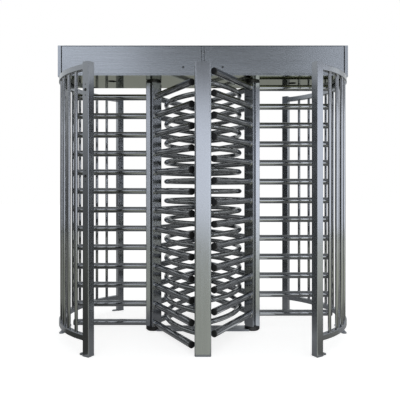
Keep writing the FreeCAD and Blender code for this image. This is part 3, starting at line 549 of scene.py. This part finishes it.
class TURNSTILE_OT_header(bpy.types.Operator):
    """Finishes the header's doors, ends, covers and polished underside"""
    bl_idname = "turnstile.header"
    bl_label = "Header"

    def execute(self, context):
        finish = context.scene.turnstile_finishes
        # Stainless sheet, type 304, brushed along the mill direction: long level lines and a wide soft
        # sheen. The real lines are 0.1 mm apart, and are drawn 1.4 mm apart.
        sheet = brushed_steel("Brushed 304 sheet", finish.sheet, finish.sheet_roughness, 420,
                              (0.012, 1.0, 1.0), 1.4, 0.01, 0.02)
        dress(["left_door", "right_door", "top_cover", "rear_panel", "centre_strip"], sheet)
        # The end caps are folded from the same sheet with its lines upright.
        end_sheet = brushed_steel("Brushed 304 end sheet", finish.sheet, finish.sheet_roughness, 420,
                                  (1.0, 1.0, 0.012), 1.4, 0.01, 0.02)
        dress(["header_ends"], end_sheet)
        # Bright annealed sheet on the underside: a mirror with a slight haze, which shows the floor below.
        # Its green-yellow colour is partly the steel's own grey and partly a painted reflection of a greenish
        # floor. Its lips are brushed like the doors.
        mirror = level_and_upright(
            "Bright annealed 304 sheet with brushed lips",
            (finish.underside, finish.underside_roughness, 500, (0.01, 1.0, 1.0), 2.5, 0.004, 0.03),
            (finish.sheet, finish.sheet_roughness, 420, (0.012, 1.0, 1.0), 1.4, 0.01, 0.02))
        dress(["soffit_centre", "soffit_ends"], mirror)
        # Lamp housings are moulded in black ABS with a polished tool: black with a clear highlight.
        lamp = speckled("Moulded black ABS", from_hex("#070708"), 0.25, 0.0, 3.0, 0.2, 0.01)
        dress(["lamps"], lamp)
        # Screws are stainless with a machined head: bright and nearly even.
        screw = speckled("Machined stainless screw", from_hex("#b2b3b5"), 0.25, 1.0, 0.8, 0.1, 0.01)
        dress(["panel_screws"], screw)
        return {"FINISHED"}


class TURNSTILE_OT_head_gear(bpy.types.Operator):
    """Finishes the rails, bearings, brakes, encoders and boxes inside the header"""
    bl_idname = "turnstile.head_gear"
    bl_label = "Head gear"

    def execute(self, context):
        # Hot-dip galvanised steel: a bright grey with crystals about 9 mm wide.
        zinc = speckled("Hot-dip galvanised steel", from_hex("#9a9fa2"), 0.42, 0.85, 9, 0.16, 0.02,
                        "ShaderNodeTexVoronoi")
        dress(["low_rails", "high_rails", "uprights", "panel_blocks", "hinge_brackets", "bearing_plates",
               "encoder_bridges"], zinc)
        # Grey cast iron with a sand skin of about 0.8 mm grain, drawn 1.6 mm wide: dark, rough and dull.
        iron = speckled("Sand-cast grey iron", from_hex("#4c4f52"), 0.62, 0.4, 1.6, 0.25, 0.15)
        dress(["head_bearings"], iron)
        # Clear anodised aluminium: even and silky, with faint extrusion lines drawn 1.2 mm apart.
        alloy = brushed_steel("Clear anodised aluminium", from_hex("#8f9296"), 0.34, 120, (1, 1, 0.1),
                              1.2, 0.02)
        dress(["brakes", "encoders", "power_supply"], alloy)
        # Light grey polycarbonate with a fine moulded grain: pale and matt.
        box = speckled("Moulded grey polycarbonate", from_hex("#b9bbb8"), 0.45, 0.0, 1.4, 0.05, 0.03)
        dress(["control_box"], box)
        # Extruded grey PVC trunking: smooth, with a dull gloss.
        duct = speckled("Extruded grey PVC", from_hex("#a4a8ab"), 0.5, 0.0, 3.0, 0.05, 0.01)
        dress(["cable_duct"], duct)
        return {"FINISHED"}


class TURNSTILE_OT_locks(bpy.types.Operator):
    """Finishes the door locks"""
    bl_idname = "turnstile.locks"
    bl_label = "Door locks"

    def execute(self, context):
        # The housing is a zinc die casting with dull chrome: a darker mirror than the doors round it.
        chrome = speckled("Dull-chromed zinc", from_hex("#6a6c70"), 0.2, 1.0, 1.0, 0.08, 0.01)
        dress(both("lock_housing"), chrome)
        # The plug and its tongue are blackened steel: nearly black and dull.
        black = speckled("Blackened steel", from_hex("#1d1e20"), 0.4, 0.6, 1.0, 0.2, 0.02)
        dress(both("lock_cam"), black)
        return {"FINISHED"}


# Screw heads, grommets and welds

def turned_rings(bm, place, out, rings, steps=24):
    """Joins rings round an axis; each is (distance along it, radius, True for a hexagon)."""
    side = out.orthogonal().normalized()
    other = out.cross(side)
    made = []
    for along, radius, hexagon in rings:
        ring = []
        for step in range(steps):
            angle = math.tau * step / steps
            reach = radius
            if hexagon:
                reach = radius / math.cos(angle % (math.pi / 3) - math.pi / 6)
            spoke = side * math.cos(angle) + other * math.sin(angle)
            ring.append(bm.verts.new(place + out * along + spoke * reach))
        made.append(ring)
    for low, high in zip(made, made[1:]):
        for step in range(steps):
            after = (step + 1) % steps
            bm.faces.new((low[step], low[after], high[after], high[step]))
    bm.faces.new(made[0][::-1])
    bm.faces.new(made[-1])


def button_head(bm, place, out, radius, height, key):
    """A button head with a rounded crown and a hexagon socket."""
    turned_rings(bm, place, out, (
        (0, radius, False), (height * 0.35, radius, False), (height * 0.7, radius * 0.88, False),
        (height * 0.93, radius * 0.68, False), (height, radius * 0.5, False), (height, key, True),
        (height * 0.35, key, True)))


# Rows of screws on a column's face: levels over the lowest arm, and the sides of the face that have one,
# where 1 is the side that leads when the rotor turns anticlockwise
SCREW_ROWS = ((1.5, (-1,)), (4.5, (-1, 1)), (6.5, (-1, 1)), (8.5, (-1, 1)), (11.5, (-1,)))


class TURNSTILE_OT_screws(bpy.types.Operator):
    """Gives the columns' screws rounded heads with hexagon sockets"""
    bl_idname = "turnstile.screws"
    bl_label = "Screw heads"

    def execute(self, context):
        sizes = context.scene.turnstile_sizes
        finish = context.scene.turnstile_finishes
        # Button heads in steel with black oxide: dark, with a dull oily sheen.
        oxide = speckled("Black-oxide steel", finish.oxide, 0.36, 0.9, 0.8, 0.2, 0.01)
        for side, sign in SIDES:
            bm = bmesh.new()
            for bearing in wing_bearings(side):
                out = outward(bearing)
                across = anticlockwise(bearing)
                for row, places in SCREW_ROWS:
                    level = lowest_arm(sizes, side) + row * sizes.level_pitch
                    for place in places:
                        foot = (rotor_axis(sizes, sign) + out * sizes.arm_root
                                + across * (place * sizes.screw_beside) + UP * level)
                        button_head(bm, foot, out, sizes.screw_radius, sizes.screw_height, sizes.screw_key)
            piece = mesh_piece(side + "_screw_heads", bm, oxide, side + "_rotor")
            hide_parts(side + "_column_screws")
        return {"FINISHED"}


def grommet(bm, place, out, radius, seat, lip):
    """A rubber ring with a rounded lip and a dished middle that closes the hole, where the hole's shade would
    show.
    """
    turned_rings(bm, place, out, (
        (-seat, radius, False), (0, radius, False), (0, radius * 1.12, False),
        (lip * 0.7, radius * 1.1, False), (lip, radius * 0.95, False),
        (lip * 0.8, radius * 0.8, False), (0, radius * 0.7, False)))


class TURNSTILE_OT_grommets(bpy.types.Operator):
    """Closes the two cable outlets with rubber grommets and their screw holes with rubber plugs, whose
    near-black stands in for the shade inside the holes
    """
    bl_idname = "turnstile.grommets"
    bl_label = "Grommets"

    def execute(self, context):
        sizes = context.scene.turnstile_sizes
        finish = context.scene.turnstile_finishes
        # Moulded black rubber: matt, with a fine grain of 0.2 mm, drawn 1 mm wide. Its near-black is partly
        # painted shade, in place of the dark inside of the outlets and screw holes.
        rubber = speckled("Moulded black rubber", finish.rubber, 0.6, 0.0, 1.0, 0.25, 0.03)
        out = outward(cage_bearing(-1, sizes.post_angle))
        face = rotor_axis(sizes, -1) + out * (sizes.post_ring + sizes.post_half)
        openings = ((0.0, sizes.outlet_radius), (sizes.outlet_screw_rise, sizes.outlet_screw_radius),
                    (-sizes.outlet_screw_rise, sizes.outlet_screw_radius))
        bm = bmesh.new()
        for level in sizes.outlet_levels:
            for rise, radius in openings:
                grommet(bm, face + UP * (level + rise), out, radius, sizes.grommet_seat, sizes.grommet_lip)
        mesh_piece("outlet_grommets", bm, rubber, "frame")
        return {"FINISHED"}


class TURNSTILE_OT_welds(bpy.types.Operator):
    """Lays rippled weld beads round the arms, comb tubes, bars and rings"""
    bl_idname = "turnstile.welds"
    bl_label = "Weld beads"

    def execute(self, context):
        sizes = context.scene.turnstile_sizes
        seed = context.scene.turnstile_studio.seed
        # Gas-shielded stainless weld, brushed clean: brighter than the tube, with even ripples.
        metal = speckled("Brushed stainless weld", from_hex("#a3a29d"), 0.28, 1.0, 3.0, 0.22, 0.02)
        for side, sign in SIDES:
            self.round_arms(sizes, metal, seed, side, sign)
        self.round_bars(sizes, metal, seed)
        self.round_comb_tubes(sizes, metal, seed)
        self.round_ring_ends(sizes, metal, seed)
        return {"FINISHED"}

    def round_arms(self, sizes, metal, seed, side, sign):
        bm = bmesh.new()
        for wing, bearing in enumerate(wing_bearings(side)):
            root = rotor_axis(sizes, sign) + outward(bearing) * sizes.arm_root
            for level in range(sizes.arm_levels):
                centre = root + UP * (lowest_arm(sizes, side) + level * sizes.level_pitch)
                circle_bead(bm, centre, anticlockwise(bearing), UP, sizes.arm_radius, sizes.arm_bead,
                            sizes.ripple_pitch, seed + wing * WING_PHASE + level * ARM_PHASE)
        mesh_piece(side + "_arm_welds", bm, metal, side + "_rotor")

    def round_bars(self, sizes, metal, seed):
        bm = bmesh.new()
        middle = (sizes.bar_count - 1) / 2
        for sign in (-1, 1):
            for number in range(sizes.bar_count):
                bearing = cage_bearing(sign, (number - middle) * sizes.bar_step)
                foot = rotor_axis(sizes, sign) + outward(bearing) * sizes.ring_radius
                for z in (BOTTOM_RING_HIGH.z, TOP_RING_LOW.z):
                    circle_bead(bm, foot + UP * z, Vector((1, 0, 0)), Vector((0, 1, 0)), sizes.bar_radius,
                                sizes.bar_bead, sizes.ripple_pitch, seed + number * BAR_PHASE + z)
        mesh_piece("bar_welds", bm, metal, "frame")

    def round_comb_tubes(self, sizes, metal, seed):
        bm = bmesh.new()
        reach = math.sqrt(sizes.comb_radius ** 2 - sizes.comb_face ** 2)
        slant = sizes.comb_radius / reach
        half_level = sizes.level_pitch / 2
        for sign in (1, -1):
            x = sign * (sizes.rotor_offset - reach)
            first = sizes.first_level + (half_level if sign > 0 else sizes.level_pitch)
            for level in range(sizes.comb_levels):
                for end in (-1, 1):
                    centre = Vector((x, end * sizes.comb_face, first + level * sizes.level_pitch))
                    circle_bead(bm, centre, Vector((1, 0, 0)), UP, sizes.comb_tube, sizes.comb_bead,
                                sizes.ripple_pitch, seed + level * COMB_PHASE + end, slant)
        mesh_piece("comb_welds", bm, metal, "frame")

    def round_ring_ends(self, sizes, metal, seed):
        bm = bmesh.new()
        radial = math.sqrt(sizes.ring_radius ** 2 - sizes.post_half ** 2)
        heights = ((BOTTOM_RING_LOW.z + BOTTOM_RING_HIGH.z) / 2, (TOP_RING_LOW.z + TOP_RING_HIGH.z) / 2)
        for sign in (-1, 1):
            for turn in (-1, 1):
                bearing = cage_bearing(sign, turn * sizes.post_angle)
                out = outward(bearing)
                into_cage = anticlockwise(bearing) * -turn
                for z in heights:
                    centre = rotor_axis(sizes, sign) + out * radial + into_cage * sizes.post_half + UP * z
                    square_bead(bm, centre, out, UP, sizes.ring_half, sizes.ring_corner, sizes.ring_bead,
                                sizes.ripple_pitch, seed + z + turn)
        mesh_piece("ring_welds", bm, metal, "frame")


# Studio

def sees_background(tree, mirrored=1.0):
    """One for rays that should find the plain background: from the camera, a mirror or clear glass."""
    path = add_node(tree, "ShaderNodeLightPath")
    mirror = add_node(tree, "ShaderNodeMath", {"operation": "MULTIPLY"},
                      {0: path.outputs["Is Glossy Ray"], 1: mirrored})
    seen = add_node(tree, "ShaderNodeMath", {"operation": "MAXIMUM"},
                    {0: path.outputs["Is Camera Ray"], 1: mirror.outputs[0]})
    seen = add_node(tree, "ShaderNodeMath", {"operation": "MAXIMUM"},
                    {0: seen.outputs[0], 1: path.outputs["Is Transmission Ray"]})
    return seen.outputs[0]


def studio_plane(name, low, high, material):
    """A flat rectangle between two opposite corners that share one coordinate."""
    flat = min(range(3), key=lambda axis: high[axis] - low[axis])
    first, second = [axis for axis in range(3) if axis != flat]
    corners = []
    for a, b in ((low, low), (high, low), (high, high), (low, high)):
        corner = list(low)
        corner[first] = a[first]
        corner[second] = b[second]
        corners.append(corner)
    mesh = bpy.data.meshes.new(name)
    mesh.from_pydata(corners, [], [(0, 1, 2, 3)])
    mesh.materials.append(material)
    plane = bpy.data.objects.new(name, mesh)
    bpy.context.scene.collection.objects.link(plane)
    return plane


def studio_wall(name, low, high, tones, along="Z", span=(0.0, 1.0), tint=(0.96, 0.99, 1.0)):
    """A glowing wall, ceiling or floor sheet that is only mirrored by the steel. Its two tones fade over a
    span.
    """
    material, tree = blank_material(name)
    place = add_node(tree, "ShaderNodeTexCoord")
    split = add_node(tree, "ShaderNodeSeparateXYZ", None, {0: place.outputs["Object"]})
    tone = add_node(tree, "ShaderNodeMapRange", None,
                    {"Value": split.outputs[along], "From Min": span[0], "From Max": span[1],
                     "To Min": tones[0], "To Max": tones[1]})
    shaded(tree, add_node(tree, "ShaderNodeEmission", None,
                          {"Color": tint + (1.0,), "Strength": tone.outputs[0]}))
    wall = studio_plane(name, low, high, material)
    wall.visible_camera = False
    wall.visible_diffuse = False
    wall.visible_shadow = False
    wall.visible_transmission = False


def soft_box(name, place, towards, width, height, brightness):
    """A soft box of an even brightness, where 1 is white."""
    data = bpy.data.lights.new(name, "AREA")
    data.shape = "RECTANGLE"
    data.size = width
    data.size_y = height
    data.energy = brightness * math.pi * width * height
    data.color = from_hex("#f2f6ff")
    lamp = bpy.data.objects.new(name, data)
    lamp.location = place
    lamp.rotation_euler = (Vector(towards) - Vector(place)).to_track_quat("-Z", "Y").to_euler()
    lamp.visible_camera = False
    bpy.context.scene.collection.objects.link(lamp)


class TURNSTILE_OT_stage(bpy.types.Operator):
    """Sets up the pale floor, the soft studio light and the camera"""
    bl_idname = "turnstile.stage"
    bl_label = "Stage"

    def execute(self, context):
        scene = context.scene
        studio = scene.turnstile_studio
        self.add_camera(scene, studio)
        self.add_floor(studio)
        self.add_world(scene, studio)
        self.add_light(studio)
        scene.view_settings.view_transform = "Standard"
        return {"FINISHED"}

    def add_camera(self, scene, studio):
        data = bpy.data.cameras.new("camera")
        data.sensor_width = 36
        data.lens = studio.lens
        data.shift_x, data.shift_y = studio.camera_shift
        data.clip_end = 200
        camera = bpy.data.objects.new("camera", data)
        camera.location = (0, -studio.camera_distance, studio.camera_height)
        camera.rotation_euler = (math.radians(90), 0, 0)
        scene.collection.objects.link(camera)
        scene.camera = camera

    def add_floor(self, studio):
        # Matt pale paint, which glows just enough to meet the white of the background.
        material, tree = blank_material("Pale painted studio floor")
        own = add_node(tree, "ShaderNodeMath", {"operation": "MULTIPLY"},
                       {0: sees_background(tree, studio.floor_mirrored), 1: studio.floor_glow})
        paint = add_node(tree, "ShaderNodeBsdfDiffuse", None, {"Color": from_hex("#b6b6b4") + (1,)})
        glow = add_node(tree, "ShaderNodeEmission", None, {"Color": (1, 1, 1, 1), "Strength": own.outputs[0]})
        shaded(tree, add_node(tree, "ShaderNodeAddShader", None, {0: paint.outputs[0], 1: glow.outputs[0]}))
        half = studio.floor_size / 2
        under_feet = 0.0005
        floor = studio_plane("floor", (-half, -half, 0), (half, half, 0), material)
        floor.location.z = -under_feet

    def add_world(self, scene, studio):
        world = bpy.data.worlds.new("studio")
        world.use_nodes = True
        tree = world.node_tree
        tree.nodes.clear()
        matt = add_node(tree, "ShaderNodeBackground", None,
                        {"Color": (0.97, 0.98, 1, 1), "Strength": studio.world_level})
        white = add_node(tree, "ShaderNodeBackground", None, {"Color": (1, 1, 1, 1), "Strength": 1.0})
        pick = add_node(tree, "ShaderNodeMixShader", None,
                        {0: sees_background(tree), 1: matt.outputs[0], 2: white.outputs[0]})
        output = add_node(tree, "ShaderNodeOutputWorld")
        tree.links.new(pick.outputs[0], output.inputs["Surface"])
        scene.world = world

    def add_light(self, studio):
        front = -studio.wall_distance
        side = studio.side_distance
        self.add_walls(front, side, studio.ceiling_height)
        self.add_carpets(front, side)
        self.add_soft_boxes(front, side)

    def add_walls(self, front, side, top):
        """Grey walls and ceilings, each between two opposite corners."""
        rear_ceiling = -2.2
        rear_left = -3.3
        rear_right = 0.4
        window_end = 3.5
        window_top = 4.5
        studio_wall("studio_ceiling", (-side, front, top), (side, rear_ceiling, top),
                    tones=(0.6, 0.4), along="X", span=(-4.0, 1.0))
        studio_wall("studio_rear_ceiling", (-side, rear_ceiling, top), (side, side, top), tones=(0.75, 0.75))
        studio_wall("studio_front_wall", (-side, front, 0), (side, front, top),
                    tones=(0.38, 0.26), span=(2.5, 4.5))
        studio_wall("studio_left_wall", (-side, front, 0), (-side, rear_left, top),
                    tones=(0.12, 0.45), span=(1.5, top))
        studio_wall("studio_left_rear_wall", (-side, rear_left, 0), (-side, side, top),
                    tones=(0.18, 0.95), span=(0.9, 3.5))
        studio_wall("studio_right_wall", (side, front, 0), (side, rear_right, top),
                    tones=(0.34, 0.4), span=(0, top))
        studio_wall("studio_right_rear_window", (side, rear_right, 0), (side, window_end, window_top),
                    tones=(0.3, 1.4), span=(0.6, 2.0))
        studio_wall("studio_right_rear_curtain", (side, window_end, 0), (side, side, window_top),
                    tones=(0.3, 0.9), span=(0.6, 2.0))
        studio_wall("studio_right_rear_wall", (side, rear_right, window_top), (side, side, top),
                    tones=(0.35, 0.35))
        studio_wall("studio_rear_wall", (-side, side, 0), (side, side, top),
                    tones=(0.35, 1.0), span=(1.3, 2.8))

    def add_carpets(self, front, side):
        """Dark and pale glowing sheets a little over the floor, seen only mirrored in the steel: painted
        shade and painted pools of light in place of a room's own floor in the mirrored view.
        """
        carpet = 0.002
        mat = 0.003
        carpet_end = -0.68
        outside_posts = 0.86
        right_end = 3.5
        lit_end = -4.2
        pale_yellow = (1.0, 1.0, 0.9)
        # Each sheet glows only for mirrored rays: painted shade where its tone is low, a painted pool of
        # light where it is high.
        studio_wall("studio_carpet", (-side, front, carpet), (side, carpet_end, carpet),
                    tones=(0.26, 1.15), along="X", span=(-3.0, 1.2), tint=(0.98, 1.0, 0.84))
        studio_wall("studio_left_carpet", (-side, -1.4, mat), (-outside_posts, -0.2, mat),
                    tones=(0.11, 0.11), tint=pale_yellow)
        studio_wall("studio_right_carpet", (outside_posts, -1.5, mat), (right_end, -0.3, mat),
                    tones=(0.3, 1.0), along="X", span=(1.1, right_end), tint=pale_yellow)
        # A painted pool of light in front, brighter than the white floor.
        studio_wall("studio_lit_carpet", (0.7, front, mat), (3.0, lit_end, mat),
                    tones=(2.4, 1.2), along="Y", span=(-6.0, lit_end))
        studio_wall("studio_middle_carpet", (0.35, -0.52, mat), (0.62, -0.08, mat), tones=(1.3, 1.3))

    def add_soft_boxes(self, front, side):
        off_wall = 0.3
        near = front + off_wall
        beside = side - off_wall
        soft_box("front_box", (-0.1, near, 1.83), (-0.1, 0, 1.83), width=2.6, height=3.46, brightness=1.95)
        soft_box("low_front_box", (2.1, near, 1.5), (2.1, 0, 1.5), width=1.8, height=2.8, brightness=2.2)
        soft_box("front_right_box", (5.3, near + 1.3, 1.7), (0.6, 0, 1.7),
                 width=5.6, height=3.2, brightness=2.1)
        soft_box("right_box", (beside, -2.9, 1.92), (0, -2.9, 1.92), width=5.8, height=3.64, brightness=1.68)
        soft_box("middle_left_box", (-2.4, near, 3.3), (-2.4, 0, 3.3), width=2.0, height=1.4, brightness=1.2)
        soft_box("upper_left_box", (-4.6, near, 5.4), (-4.6, 0, 5.4), width=5.6, height=2.8, brightness=1.9)
        soft_box("upper_right_box", (4.9, near, 6.0), (4.9, 0, 6.0), width=4.0, height=4.0, brightness=1.25)


class TURNSTILE_PT_panel(bpy.types.Panel):
    bl_label = "Turnstile"
    bl_idname = "TURNSTILE_PT_panel"
    bl_space_type = "VIEW_3D"
    bl_region_type = "UI"
    bl_category = "Turnstile"

    def draw(self, context):
        for operator in OPERATORS:
            self.layout.operator(operator.bl_idname)
        for group in (context.scene.turnstile_finishes, context.scene.turnstile_sizes,
                      context.scene.turnstile_studio):
            box = self.layout.box()
            for name in group.bl_rna.properties.keys():
                if name not in ("rna_type", "name"):
                    box.prop(group, name)


OPERATORS = (TURNSTILE_OT_stage, TURNSTILE_OT_cages, TURNSTILE_OT_combs, TURNSTILE_OT_rotors,
             TURNSTILE_OT_header, TURNSTILE_OT_head_gear, TURNSTILE_OT_locks, TURNSTILE_OT_screws,
             TURNSTILE_OT_grommets, TURNSTILE_OT_welds)
CLASSES = (TurnstileSizes, TurnstileFinishes, TurnstileStudio) + OPERATORS + (TURNSTILE_PT_panel,)


def register():
    for cls in CLASSES:
        bpy.utils.register_class(cls)
    bpy.types.Scene.turnstile_sizes = PointerProperty(type=TurnstileSizes)
    bpy.types.Scene.turnstile_finishes = PointerProperty(type=TurnstileFinishes)
    bpy.types.Scene.turnstile_studio = PointerProperty(type=TurnstileStudio)


def unregister():
    del bpy.types.Scene.turnstile_studio
    del bpy.types.Scene.turnstile_finishes
    del bpy.types.Scene.turnstile_sizes
    for cls in reversed(CLASSES):
        bpy.utils.unregister_class(cls)


def main():
    register()
    bpy.ops.turnstile.stage()
    bpy.ops.turnstile.cages()
    bpy.ops.turnstile.combs()
    bpy.ops.turnstile.rotors()
    bpy.ops.turnstile.header()
    bpy.ops.turnstile.head_gear()
    bpy.ops.turnstile.locks()
    bpy.ops.turnstile.screws()
    bpy.ops.turnstile.grommets()
    bpy.ops.turnstile.welds()
    bpy.context.view_layer.update()


if __name__ == "__main__":
    main()
